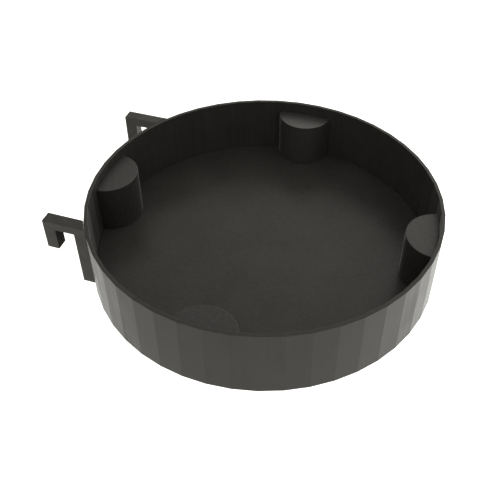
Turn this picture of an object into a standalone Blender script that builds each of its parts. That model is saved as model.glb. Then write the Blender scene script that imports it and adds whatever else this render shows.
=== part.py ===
"""Hook-on gold pan: a faceted wall, a raised floor, four ledge posts and two hanging hooks.

Metres, +Z up. The origin is on the pan's axis, on the underside of its floor, and the foot
of the wall reaches below it. The hooks point along -X, so +Y is the back and -Y is the front.
"""

import math

import bmesh
import bpy

# Pan: an upright band of equal flats, its diameter taken across the corners
PAN_DIAMETER = 0.280
PAN_HEIGHT = 0.060
WALL_THICKNESS = 0.003
FLAT_COUNT = 47
FIRST_CORNER = math.radians(-89.0)

# Floor: a plate whose thinner lip rests on a shelf, with the foot of the wall reaching below it
FLOOR_THICKNESS = 0.003
FLOOR_LIP = 0.0015
SHELF_WIDTH = 0.0015
FOOT_HEIGHT = 0.008

# Ledge posts: half-round cups, open at the foot, centred on the wall's inner face
POST_RADIUS = 0.025
POST_DROP = 0.0075
BACK_POST_RADIUS = 0.023
BACK_POST_DROP = 0.0095
POST_SHELL = 0.003
POST_SEGMENTS = 72

# Azimuth, radius and drop below the rim of each post
POSTS = {
    "post_right": (math.radians(3.6), POST_RADIUS, POST_DROP),
    "post_back": (math.radians(92.0), BACK_POST_RADIUS, BACK_POST_DROP),
    "post_left": (math.radians(180.0), POST_RADIUS, POST_DROP),
    "post_front": (math.radians(270.3), POST_RADIUS, POST_DROP),
}

# Hooks: bent flat bars, level with the rim, one on each side of the -X axis
HOOK_SPACING = 0.146
HOOK_WIDTH = 0.010
HOOK_LEG = 0.0075
HOOK_ARM = 0.0075
HOOK_TIP = 0.010
HOOK_THROAT = 0.016
HOOK_DROP = 0.027
HOOK_FOOT = 0.003

# Glue line between bonded pieces
BOND_GAP = 0.0003

# Distances from the axis, and heights, that several pieces share
FLAT_ANGLE = 2 * math.pi / FLAT_COUNT
CORNER_RADIUS = PAN_DIAMETER / 2
OUTER_FLAT = CORNER_RADIUS * math.cos(FLAT_ANGLE / 2)
INNER_FLAT = OUTER_FLAT - WALL_THICKNESS
SHELF_EDGE = WALL_THICKNESS + SHELF_WIDTH
FOOT_LEVEL = -FOOT_HEIGHT
LIP_LEVEL = FLOOR_THICKNESS - FLOOR_LIP
RIM_LEVEL = FOOT_LEVEL + PAN_HEIGHT


def clear_scene():
    for old in list(bpy.data.objects):
        bpy.data.objects.remove(old, do_unlink=True)


def plastic(name, colour, roughness):
    """A plain moulded plastic."""
    material = bpy.data.materials.new(name)
    material.use_nodes = True
    shader = material.node_tree.nodes["Principled BSDF"]
    shader.inputs["Base Color"].default_value = (*colour, 1.0)
    shader.inputs["Roughness"].default_value = roughness
    shader.inputs["Metallic"].default_value = 0.0
    return material


def corner_ring(inset, height):
    """The band's corners at one height, moved in by inset, measured square to the flats."""
    radius = CORNER_RADIUS - inset / math.cos(FLAT_ANGLE / 2)
    angles = [FIRST_CORNER + i * FLAT_ANGLE for i in range(FLAT_COUNT)]
    return [(radius * math.cos(a), radius * math.sin(a), height) for a in angles]


def join_rings(work, ring, following):
    for i in range(FLAT_COUNT):
        j = (i + 1) % FLAT_COUNT
        work.faces.new((ring[i], ring[j], following[j], following[i]))


def stack_rings(work, profile):
    """A ring of corners at each inset and height of a profile, joined each to the next."""
    rings = [[work.verts.new(corner) for corner in corner_ring(*point)] for point in profile]
    for ring, following in zip(rings, rings[1:]):
        join_rings(work, ring, following)
    return rings


def new_object(name, fill_mesh):
    """An object whose mesh is what fill_mesh leaves in a bmesh."""
    work = bmesh.new()
    fill_mesh(work)
    bmesh.ops.recalc_face_normals(work, faces=work.faces)
    mesh = bpy.data.meshes.new(name)
    work.to_mesh(mesh)
    work.free()
    item = bpy.data.objects.new(name, mesh)
    bpy.context.scene.collection.objects.link(item)
    return item


def prism(name, outline, push):
    """A solid made by filling a flat outline and pushing it along a vector."""

    def fill_mesh(work):
        face = work.faces.new([work.verts.new(point) for point in outline])
        pushed = bmesh.ops.extrude_face_region(work, geom=[face])["geom"]
        moved = [part for part in pushed if isinstance(part, bmesh.types.BMVert)]
        bmesh.ops.translate(work, verts=moved, vec=push)

    return new_object(name, fill_mesh)


def band_tool(name, inset):
    """The band's outline, moved in by inset, as a solid that reaches past every piece of the pan."""
    return prism(name, corner_ring(inset, -PAN_HEIGHT), (0, 0, 3 * PAN_HEIGHT))


def post_bar(name, radius, bottom, top, azimuth):
    """An upright round bar centred on the wall's inner face."""
    turns = [2 * math.pi * i / POST_SEGMENTS for i in range(POST_SEGMENTS)]
    outline = [(INNER_FLAT + radius * math.cos(a), radius * math.sin(a), bottom) for a in turns]
    bar = prism(name, outline, (0, 0, top - bottom))
    bar.rotation_euler.z = azimuth
    return bar


def add_boolean(target, tool, operation):
    """Combine target with a tool that stays out of the finished part."""
    step = target.modifiers.new(tool.name, "BOOLEAN")
    step.operation = operation
    step.solver = "EXACT"
    step.object = tool
    tool.hide_render = True
    tool.display_type = "WIRE"


def finish_piece(piece, frame, material):
    piece.data.materials.append(material)
    piece.parent = frame


def make_wall(frame, material):
    """The band: a ring of flats, with a shelf round the inside of its foot for the floor."""
    shelf_level = LIP_LEVEL - BOND_GAP
    profile = [
        (0.0, FOOT_LEVEL),
        (0.0, RIM_LEVEL),
        (WALL_THICKNESS, RIM_LEVEL),
        (WALL_THICKNESS, shelf_level),
        (SHELF_EDGE, shelf_level),
        (SHELF_EDGE, FOOT_LEVEL),
    ]

    def fill_mesh(work):
        rings = stack_rings(work, profile)
        join_rings(work, rings[-1], rings[0])

    wall = new_object("pan_wall", fill_mesh)
    finish_piece(wall, frame, material)


def make_floor(frame, material):
    """The plate, dropped in from above: its lip lies on the shelf, and its body fits inside it."""
    profile = [
        (SHELF_EDGE + BOND_GAP, 0.0),
        (SHELF_EDGE + BOND_GAP, LIP_LEVEL),
        (WALL_THICKNESS + BOND_GAP, LIP_LEVEL),
        (WALL_THICKNESS + BOND_GAP, FLOOR_THICKNESS),
    ]

    def fill_mesh(work):
        rings = stack_rings(work, profile)
        work.faces.new(rings[0])
        work.faces.new(rings[-1])

    floor = new_object("pan_floor", fill_mesh)
    finish_piece(floor, frame, material)


def make_post(name, azimuth, radius, drop, frame, material):
    """A half-round cup with its back cut to the wall's flats, standing on the floor."""
    back = WALL_THICKNESS + BOND_GAP
    foot = FLOOR_THICKNESS + BOND_GAP
    top = RIM_LEVEL - drop
    post = post_bar(name, radius, foot, top, azimuth)
    core = post_bar(name + "_core", radius - POST_SHELL, 0.0, top - POST_SHELL, azimuth)
    add_boolean(post, band_tool(name + "_back", back), "INTERSECT")
    add_boolean(core, band_tool(name + "_core_back", back + POST_SHELL), "INTERSECT")
    add_boolean(post, core, "DIFFERENCE")
    post.data.shade_smooth()
    post.data.set_sharp_from_angle(angle=math.radians(20))
    finish_piece(post, frame, material)


def make_hook(name, side, frame, material):
    """A bent bar, drawn from the axis outwards, then cut to the flats of the wall's outer side."""
    middle = HOOK_SPACING / 2
    leg_face = math.sqrt(OUTER_FLAT**2 - middle**2) + HOOK_LEG
    tip_inner = leg_face + HOOK_THROAT
    tip_outer = tip_inner + HOOK_TIP
    arm_under = RIM_LEVEL - HOOK_ARM
    tip_end = RIM_LEVEL - HOOK_DROP
    leg_end = FOOT_LEVEL + HOOK_FOOT
    profile = [
        (0.0, RIM_LEVEL),
        (tip_outer, RIM_LEVEL),
        (tip_outer, tip_end),
        (tip_inner, tip_end),
        (tip_inner, arm_under),
        (leg_face, arm_under),
        (leg_face, leg_end),
        (0.0, leg_end),
    ]
    first_face = side * middle - HOOK_WIDTH / 2
    outline = [(-reach, first_face, height) for reach, height in profile]
    hook = prism(name, outline, (0, HOOK_WIDTH, 0))
    add_boolean(hook, band_tool(name + "_saddle", -BOND_GAP), "DIFFERENCE")
    finish_piece(hook, frame, material)


def build():
    clear_scene()
    frame = bpy.data.objects.new("pan_axis", None)
    bpy.context.scene.collection.objects.link(frame)
    make_wall(frame, plastic("wall_plastic", (0.030, 0.029, 0.027), 0.42))
    make_floor(frame, plastic("floor_plastic", (0.030, 0.029, 0.027), 0.50))
    post_plastic = plastic("post_plastic", (0.032, 0.031, 0.029), 0.50)
    for name, (azimuth, radius, drop) in POSTS.items():
        make_post(name, azimuth, radius, drop, frame, post_plastic)
    hook_plastic = plastic("hook_plastic", (0.032, 0.030, 0.028), 0.45)
    make_hook("hook_front", -1, frame, hook_plastic)
    make_hook("hook_back", 1, frame, hook_plastic)


build()
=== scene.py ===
import math

import bmesh
import bpy
from mathutils import Euler, Matrix, Vector


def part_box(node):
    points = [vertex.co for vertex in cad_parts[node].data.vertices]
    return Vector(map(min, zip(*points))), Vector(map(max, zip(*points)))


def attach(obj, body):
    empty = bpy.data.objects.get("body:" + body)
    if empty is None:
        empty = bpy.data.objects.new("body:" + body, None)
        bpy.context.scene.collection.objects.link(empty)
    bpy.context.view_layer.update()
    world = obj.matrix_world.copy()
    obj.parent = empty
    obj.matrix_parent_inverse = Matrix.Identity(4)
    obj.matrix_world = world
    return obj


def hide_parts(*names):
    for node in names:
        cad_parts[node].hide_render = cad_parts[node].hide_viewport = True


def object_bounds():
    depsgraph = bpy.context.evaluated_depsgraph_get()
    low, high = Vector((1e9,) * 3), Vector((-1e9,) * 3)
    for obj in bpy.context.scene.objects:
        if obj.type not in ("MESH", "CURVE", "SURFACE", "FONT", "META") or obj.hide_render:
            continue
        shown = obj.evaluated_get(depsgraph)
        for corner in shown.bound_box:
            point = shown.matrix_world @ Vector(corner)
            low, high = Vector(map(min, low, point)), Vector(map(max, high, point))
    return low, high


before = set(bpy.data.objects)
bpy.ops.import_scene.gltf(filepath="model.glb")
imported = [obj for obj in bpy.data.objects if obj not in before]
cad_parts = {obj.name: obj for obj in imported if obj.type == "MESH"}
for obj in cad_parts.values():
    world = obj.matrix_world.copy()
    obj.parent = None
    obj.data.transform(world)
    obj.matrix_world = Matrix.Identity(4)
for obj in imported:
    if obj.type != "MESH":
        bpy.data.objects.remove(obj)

CAD_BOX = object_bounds()

# Lengths are in metres, and only the camera's lens and sensor in millimetres

# Camera: aimed at the rim's centre, then turned a little to frame the pan as photographed
CAMERA_AZIMUTH = math.radians(17.74)
CAMERA_ELEVATION = math.radians(40.05)
CAMERA_DISTANCE = 0.5949
CAMERA_LENS = 54.54
CAMERA_TURN_LEFT = math.radians(1.023)
CAMERA_TILT_DOWN = math.radians(3.906)
CAMERA_ROLL = math.radians(0.387)
SENSOR_WIDTH = 36.0

# Stage: a grey floor that glows to white, more to the right, so that the pan's shadow stays faint
FLOOR_SIZE = 12.0
FLOOR_GAP = 0.0001
FLOOR_COLOUR = (0.35, 0.35, 0.35)
FLOOR_GLOW = 1.445
GLOW_SWING = 0.6
GLOW_REACH = 0.4

# Light: a warm soft sky, brightest high at the front right, and a soft lamp low at the back right
LIGHT_COLOUR = (1.0, 0.998, 0.95)
SKY_LEVEL = 0.574
SKY_SWING = 0.543
SKY_SIDE = math.radians(-41.6)
SKY_RISE = math.radians(58.1)
LAMP_LEVEL = 2.863
LAMP_FOCUS = 12.0
LAMP_SIDE = math.radians(75)
LAMP_RISE = math.radians(15)
BACKDROP_COLOUR = (1.0, 1.0, 1.0)

# Moulded edges, rounded where two faces meet at more than the sharp angle
EDGE_RADIUS = 0.0004
EDGE_STEPS = 3
EDGE_PROFILE = 0.5
SHARP_EDGE = math.radians(40)
ROUND_SIDE = math.radians(7)
FLAT_FACE = math.radians(1)
WELD_DISTANCE = 0.000001

# Charcoal plastic, as each kind of moulding shows it
WALL_COLOUR = (0.0250, 0.0228, 0.0212)
FLOOR_PLATE_COLOUR = (0.0244, 0.0223, 0.0207)
POST_COLOUR = (0.0187, 0.0173, 0.0161)
HOOK_COLOUR = (0.0303, 0.0279, 0.0262)
WALL_CONTRAST = 0.16
FLOOR_PLATE_CONTRAST = 0.24
POST_CONTRAST = 0.24
HOOK_CONTRAST = 0.18
WALL_ROUGHNESS = 0.35
FLOOR_PLATE_ROUGHNESS = 0.35
POST_ROUGHNESS = 0.49
HOOK_ROUGHNESS = 0.20
WALL_ROUGHNESS_SWING = 0.07
FLOOR_PLATE_ROUGHNESS_SWING = 0.05
POST_ROUGHNESS_SWING = 0.02
HOOK_ROUGHNESS_SWING = 0.06
WALL_GLOSS = 0.144
FLOOR_PLATE_GLOSS = 0.174
# Gloss per post is painted reflection: the back post is made far glossier so that its top, which
# the wall behind it shades, looks as bright as the other tops
POST_PAINTED_REFLECTION_GLOSS = {
    "post_right": 0.286,
    "post_back": 0.787,
    "post_left": 0.314,
    "post_front": 0.258,
}
HOOK_GLOSS = 0.146
WALL_BLOOM = 0.24
FLOOR_PLATE_BLOOM = 0.159
POST_BLOOM = 0.3
HOOK_BLOOM = 0.0
BLOOM_ROUGHNESS = 0.2
PLASTIC_IOR = 1.45

# Sizes of the marks in the plastic, and how finely the noise behind them breaks up
GRAIN_SIZE = 0.00055
GRAIN_DEPTH = 0.000012
WALL_CLOUD_SIZE = 0.022
FLOOR_CLOUD_SIZE = 0.0352
HOOK_CLOUD_SIZE = 0.0088
FLOOR_SPECK_SIZE = 0.0035
POST_SPECK_SIZE = 0.0028
HOOK_SPECK_SIZE = 0.0014
STREAK_SIZE = (0.0030, 0.0030, 0.060)
SCUFF_SIZE = (0.0005, 0.030, 1.0)
SCUFF_TURNS = [math.radians(turn) for turn in (12, 67, 131)]
SOFT_DETAIL = 2.0
MIXED_DETAIL = 3.0
FINE_DETAIL = 4.0

# Strengths of the marks: most of a noise lies between its two limits, and scuffs are its peaks
MARK_SHARE = 0.3
NOISE_LIMITS = (0.3, 0.7)
SCUFF_LIMITS = (0.62, 0.75)
SCUFF_RANGE = (0.4, 0.7)

# Wear: the rounded edges are rubbed paler, in patches
RUBBED_COLOUR = (0.050, 0.047, 0.043)
RUB_PATCH_SIZE = 0.0042
RUB_LIMITS = (0.35, 0.65)
RUB_RANGE = (0.05, 0.30)


def add_node(tree, kind, inputs, **settings):
    """A new node. Its inputs take values or other nodes' outputs, and settings are its own."""
    item = tree.nodes.new("ShaderNode" + kind)
    for name, value in settings.items():
        setattr(item, name, value)
    for name, value in inputs.items():
        if isinstance(value, bpy.types.NodeSocket):
            tree.links.new(value, item.inputs[name])
        else:
            item.inputs[name].default_value = value
    return item


def calculate(tree, operation, first, second):
    return add_node(tree, "Math", {0: first, 1: second}, operation=operation).outputs["Value"]


def mean(tree, first, second):
    return calculate(tree, "MULTIPLY", calculate(tree, "ADD", first, second), 0.5)


def remap(tree, value, limits, new_limits):
    inputs = {
        "Value": value,
        "From Min": limits[0],
        "From Max": limits[1],
        "To Min": new_limits[0],
        "To Max": new_limits[1],
    }
    return add_node(tree, "MapRange", inputs).outputs["Result"]


def along(tree, place, direction):
    """How far a place lies in a direction."""
    inputs = {0: place, 1: direction}
    return add_node(tree, "VectorMath", inputs, operation="DOT_PRODUCT").outputs["Value"]


def noise(tree, place, size, detail=SOFT_DETAIL):
    """Cloudy noise with patches about size metres across."""
    inputs = {"Vector": place, "Scale": 1 / size, "Detail": detail}
    return add_node(tree, "TexNoise", inputs).outputs["Fac"]


def streaks(tree, place, size, turn=0.0):
    """Noise with drawn-out patches, their size given along X, Y and Z once turned about Z."""
    inputs = {"Vector": place, "Rotation": (0, 0, turn), "Scale": size}
    drawn = add_node(tree, "Mapping", inputs, vector_type="TEXTURE").outputs["Vector"]
    return noise(tree, drawn, 1.0)


def make_camera():
    rim_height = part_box("pan_wall")[1].z
    level = math.cos(CAMERA_ELEVATION)
    away = Vector((
        math.sin(CAMERA_AZIMUTH) * level,
        -math.cos(CAMERA_AZIMUTH) * level,
        math.sin(CAMERA_ELEVATION),
    ))
    aim = Euler((math.pi / 2 - CAMERA_ELEVATION, 0, CAMERA_AZIMUTH)).to_matrix()
    left = Matrix.Rotation(CAMERA_TURN_LEFT, 3, "Y")
    down = Matrix.Rotation(-CAMERA_TILT_DOWN, 3, "X")
    roll = Matrix.Rotation(CAMERA_ROLL, 3, "Z")
    data = bpy.data.cameras.new("photo_camera")
    data.sensor_width = SENSOR_WIDTH
    data.lens = CAMERA_LENS
    camera = bpy.data.objects.new("photo_camera", data)
    camera.matrix_world = (aim @ left @ down @ roll).to_4x4()
    camera.location = Vector((0, 0, rim_height)) + away * CAMERA_DISTANCE
    bpy.context.scene.collection.objects.link(camera)
    bpy.context.scene.camera = camera


def make_stage():
    """The floor, which lets the pan's underside be seen from below."""
    height = CAD_BOX[0].z - FLOOR_GAP
    bpy.ops.mesh.primitive_plane_add(size=FLOOR_SIZE, location=(0, 0, height))
    floor = bpy.context.object
    floor.name = "studio_floor"
    material = bpy.data.materials.new("studio_white")
    material.use_nodes = True
    tree = material.node_tree
    shader = tree.nodes["Principled BSDF"]
    shader.inputs["Base Color"].default_value = (*FLOOR_COLOUR, 1)
    shader.inputs["Roughness"].default_value = 1.0
    shader.inputs["Specular IOR Level"].default_value = 0.0
    shader.inputs["Emission Color"].default_value = (*LIGHT_COLOUR, 1)
    place = add_node(tree, "TexCoord", {}).outputs["Object"]
    right = (math.cos(CAMERA_AZIMUTH), math.sin(CAMERA_AZIMUTH), 0)
    glow = remap(
        tree, along(tree, place, right),
        (-GLOW_REACH, GLOW_REACH), (FLOOR_GLOW - GLOW_SWING, FLOOR_GLOW + GLOW_SWING),
    )
    tree.links.new(glow, shader.inputs["Emission Strength"])
    from_below = add_node(tree, "NewGeometry", {}).outputs["Backfacing"]
    clear = add_node(tree, "BsdfTransparent", {}).outputs["BSDF"]
    shown = add_node(tree, "MixShader", {"Fac": from_below, 1: shader.outputs["BSDF"], 2: clear})
    tree.links.new(shown.outputs["Shader"], tree.nodes["Material Output"].inputs["Surface"])
    floor.data.materials.append(material)


def nearness(tree, side, rise, far, near):
    """From far to near as the sky's direction turns to an azimuth, from +X, and an elevation."""
    facing = add_node(tree, "TexCoord", {}).outputs["Generated"]
    level = math.cos(rise)
    toward = (math.cos(side) * level, math.sin(side) * level, math.sin(rise))
    return remap(tree, along(tree, facing, toward), (-1, 1), (far, near))


def make_sky():
    """A graded sky with a lamp in it, shown as plain white where the camera sees it directly."""
    world = bpy.data.worlds.new("studio_sky")
    world.use_nodes = True
    tree = world.node_tree
    sky = nearness(tree, SKY_SIDE, SKY_RISE, SKY_LEVEL - SKY_SWING, SKY_LEVEL + SKY_SWING)
    to_lamp = nearness(tree, LAMP_SIDE, LAMP_RISE, 0.0, 1.0)
    spot = calculate(tree, "POWER", to_lamp, LAMP_FOCUS)
    lamp = calculate(tree, "MULTIPLY", spot, LAMP_LEVEL)
    graded = tree.nodes["Background"]
    graded.inputs["Color"].default_value = (*LIGHT_COLOUR, 1)
    tree.links.new(calculate(tree, "ADD", sky, lamp), graded.inputs["Strength"])
    backdrop = add_node(tree, "Background", {"Color": (*BACKDROP_COLOUR, 1), "Strength": 1.0})
    mixed = add_node(tree, "MixShader", {
        "Fac": add_node(tree, "LightPath", {}).outputs["Is Camera Ray"],
        1: graded.outputs["Background"],
        2: backdrop.outputs["Background"],
    })
    tree.links.new(mixed.outputs["Shader"], tree.nodes["World Output"].inputs["Surface"])
    bpy.context.scene.world = world
    bpy.context.scene.view_settings.view_transform = "Standard"


def start_plastic(name, gloss, bloom):
    """A satin plastic with a thin grey bloom, and the coordinates that its marks follow."""
    material = bpy.data.materials.new(name)
    material.use_nodes = True
    tree = material.node_tree
    shader = tree.nodes["Principled BSDF"]
    shader.inputs["IOR"].default_value = PLASTIC_IOR
    shader.inputs["Specular IOR Level"].default_value = gloss
    shader.inputs["Sheen Weight"].default_value = bloom
    shader.inputs["Sheen Roughness"].default_value = BLOOM_ROUGHNESS
    place = add_node(tree, "TexCoord", {}).outputs["Object"]
    return material, tree, shader, place


def colour_plastic(tree, shader, place, tone, colour, contrast):
    """The colour goes from darker to lighter with the tone, and is rubbed paler on the edges."""
    darker = (*[part * (1 - contrast) for part in colour], 1)
    lighter = (*[part * (1 + contrast) for part in colour], 1)
    depth = remap(tree, tone, NOISE_LIMITS, (0, 1))
    toned = {"Fac": depth, "Color1": darker, "Color2": lighter}
    clean = add_node(tree, "MixRGB", toned).outputs["Color"]
    edge = add_node(tree, "Attribute", {}, attribute_name="rub").outputs["Fac"]
    patches = remap(tree, noise(tree, place, RUB_PATCH_SIZE), RUB_LIMITS, RUB_RANGE)
    rubbed = calculate(tree, "MULTIPLY", edge, patches)
    worn = {"Fac": rubbed, "Color1": clean, "Color2": (*RUBBED_COLOUR, 1)}
    mixed = add_node(tree, "MixRGB", worn).outputs["Color"]
    tree.links.new(mixed, shader.inputs["Base Color"])


def roughen_plastic(tree, shader, marks, roughness, swing):
    """The gloss is uneven where the marks are."""
    uneven = remap(tree, marks, NOISE_LIMITS, (roughness - swing, roughness + swing))
    tree.links.new(uneven, shader.inputs["Roughness"])


def grain_plastic(tree, shader, place, marks):
    """Fine moulded grain, with the marks standing a little in and out of it."""
    grain = noise(tree, place, GRAIN_SIZE)
    height = calculate(tree, "ADD", grain, calculate(tree, "MULTIPLY", marks, MARK_SHARE))
    bump = add_node(tree, "Bump", {"Height": height, "Distance": GRAIN_DEPTH})
    tree.links.new(bump.outputs["Normal"], shader.inputs["Normal"])


def make_wall_plastic():
    """Upright draw marks from the mould, over large soft clouds."""
    material, tree, shader, place = start_plastic("charcoal_wall", WALL_GLOSS, WALL_BLOOM)
    drawn = streaks(tree, place, STREAK_SIZE)
    tone = mean(tree, noise(tree, place, WALL_CLOUD_SIZE), drawn)
    colour_plastic(tree, shader, place, tone, WALL_COLOUR, WALL_CONTRAST)
    roughen_plastic(tree, shader, tone, WALL_ROUGHNESS, WALL_ROUGHNESS_SWING)
    grain_plastic(tree, shader, place, drawn)
    return material


def make_floor_plastic():
    """Clouded and specked, with fine scuffs that cross in a few directions."""
    material, tree, shader, place = start_plastic(
        "charcoal_floor", FLOOR_PLATE_GLOSS, FLOOR_PLATE_BLOOM
    )
    clouds = noise(tree, place, FLOOR_CLOUD_SIZE, FINE_DETAIL)
    specks = noise(tree, place, FLOOR_SPECK_SIZE, FINE_DETAIL)
    tone = mean(tree, clouds, specks)
    scuffs = streaks(tree, place, SCUFF_SIZE, SCUFF_TURNS[0])
    for turn in SCUFF_TURNS[1:]:
        scuffs = calculate(tree, "MAXIMUM", scuffs, streaks(tree, place, SCUFF_SIZE, turn))
    fine = remap(tree, scuffs, SCUFF_LIMITS, SCUFF_RANGE)
    colour_plastic(tree, shader, place, tone, FLOOR_PLATE_COLOUR, FLOOR_PLATE_CONTRAST)
    roughen_plastic(tree, shader, fine, FLOOR_PLATE_ROUGHNESS, FLOOR_PLATE_ROUGHNESS_SWING)
    grain_plastic(tree, shader, place, fine)
    return material


def make_post_plastic(post):
    """Specked, with weak upright draw marks, and each post's gloss set on its own as painted
    reflection: the back post's much higher gloss brightens a top that the wall behind it shades.
    """
    material, tree, shader, place = start_plastic(
        "charcoal_" + post, POST_PAINTED_REFLECTION_GLOSS[post], POST_BLOOM
    )
    drawn = streaks(tree, place, STREAK_SIZE)
    specks = noise(tree, place, POST_SPECK_SIZE, MIXED_DETAIL)
    colour_plastic(tree, shader, place, specks, POST_COLOUR, POST_CONTRAST)
    roughen_plastic(tree, shader, drawn, POST_ROUGHNESS, POST_ROUGHNESS_SWING)
    grain_plastic(tree, shader, place, drawn)
    return material


def make_hook_plastic():
    """Small clouds, with the gloss patchy from handling."""
    material, tree, shader, place = start_plastic("charcoal_hook", HOOK_GLOSS, HOOK_BLOOM)
    clouds = noise(tree, place, HOOK_CLOUD_SIZE, MIXED_DETAIL)
    specks = noise(tree, place, HOOK_SPECK_SIZE)
    colour_plastic(tree, shader, place, clouds, HOOK_COLOUR, HOOK_CONTRAST)
    roughen_plastic(tree, shader, clouds, HOOK_ROUGHNESS, HOOK_ROUGHNESS_SWING)
    grain_plastic(tree, shader, place, specks)
    return material


def round_edges(work):
    """Round the hard edges, mark them for the wear, and smooth them and the posts' round sides."""
    rub = work.faces.layers.float.new("rub")
    hard = [edge for edge in work.edges if edge.calc_face_angle(0) > SHARP_EDGE]
    rounded = bmesh.ops.bevel(
        work, geom=hard, offset=EDGE_RADIUS, offset_type="OFFSET", segments=EDGE_STEPS,
        profile=EDGE_PROFILE, affect="EDGES", clamp_overlap=True,
    )["faces"]
    for face in rounded:
        face[rub] = 1.0
    for face in work.faces:
        on_round_side = any(0 < edge.calc_face_angle(0) < ROUND_SIDE for edge in face.edges)
        face.smooth = on_round_side or face[rub] > 0


def dress(node, material):
    """Show a node as a moulding: the same solid with its hard edges rounded."""
    work = bmesh.new()
    work.from_mesh(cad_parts[node].data)
    bmesh.ops.remove_doubles(work, verts=work.verts, dist=WELD_DISTANCE)
    bmesh.ops.dissolve_limit(work, angle_limit=FLAT_FACE, verts=work.verts, edges=work.edges)
    round_edges(work)
    mesh = bpy.data.meshes.new(node + "_moulding")
    work.to_mesh(mesh)
    work.free()
    mesh.materials.append(material)
    piece = bpy.data.objects.new(node + "_moulding", mesh)
    bpy.context.scene.collection.objects.link(piece)
    shading = piece.modifiers.new("flat_faces", "WEIGHTED_NORMAL")
    shading.keep_sharp = True
    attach(piece, "root")
    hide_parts(node)


make_camera()
make_stage()
make_sky()
wall_plastic = make_wall_plastic()
floor_plastic = make_floor_plastic()
hook_plastic = make_hook_plastic()
dress("pan_wall", wall_plastic)
dress("pan_floor", floor_plastic)
for post in POST_PAINTED_REFLECTION_GLOSS:
    dress(post, make_post_plastic(post))
for hook in ("hook_front", "hook_back"):
    dress(hook, hook_plastic)
